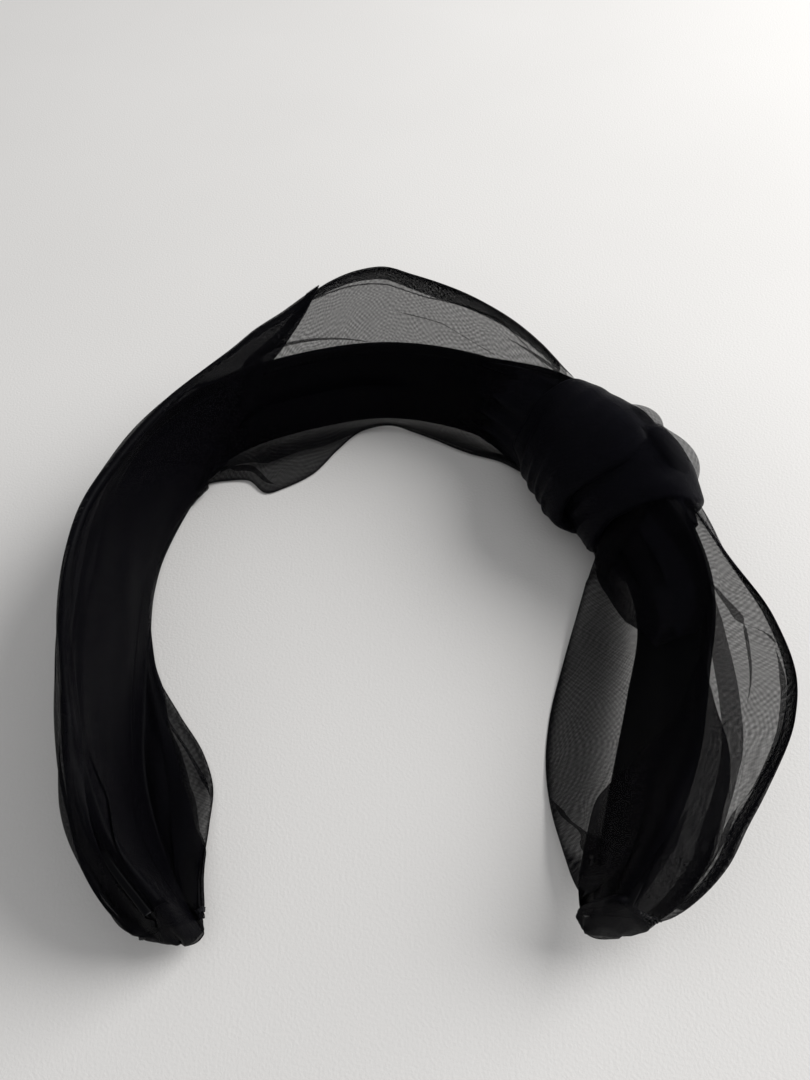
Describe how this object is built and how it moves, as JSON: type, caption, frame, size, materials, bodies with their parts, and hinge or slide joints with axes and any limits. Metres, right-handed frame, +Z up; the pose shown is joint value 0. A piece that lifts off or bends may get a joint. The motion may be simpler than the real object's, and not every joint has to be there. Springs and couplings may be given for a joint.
{
  "type": "knotted headband",
  "caption": "Springy C-shaped hair band wrapped in sheer organza tubes, tied in one large knot beside the crown.",
  "frame": {"origin": "middle of the base of the headband lying on its edge", "axes": "+Z up from the surface it lies on, +Y from the opening between the tips towards the crown, +X towards the knotted arm"},
  "size_m": [0.1696, 0.1806, 0.0451],
  "materials": {
    "core_plastic": "moulded",
    "satin": "satin weave",
    "lining_ribbon": "smooth ribbon",
    "organza": "sheer plain weave",
    "thread": "twisted thread"
  },
  "bodies": {
    "left_arm": {"core_strip_left": "core_plastic", "core_sleeve_left": "satin", "lining_left": "lining_ribbon", "organza_tube_left": "organza", "organza_wrap_left": "organza", "tip_gather_left": "organza", "tip_binding_left": "thread"},
    "right_arm": {"core_strip_right": "core_plastic", "core_sleeve_right": "satin", "lining_right": "lining_ribbon", "organza_tube_crown": "organza", "organza_tube_right": "organza", "knot_pass": "organza", "knot_upper_loop": "organza", "knot_lower_loop": "organza", "tip_gather_right": "organza", "tip_binding_right": "thread"}
  },
  "joints": [
    {"name": "crown_flex", "type": "hinge", "parent": "left_arm", "child": "right_arm", "pos_m": [-0.00507, 0.0684, 0], "axis": [0, 0, 1], "range_deg": [-6, 24], "stiffness_Nm_per_rad": 0.9}
  ]
}
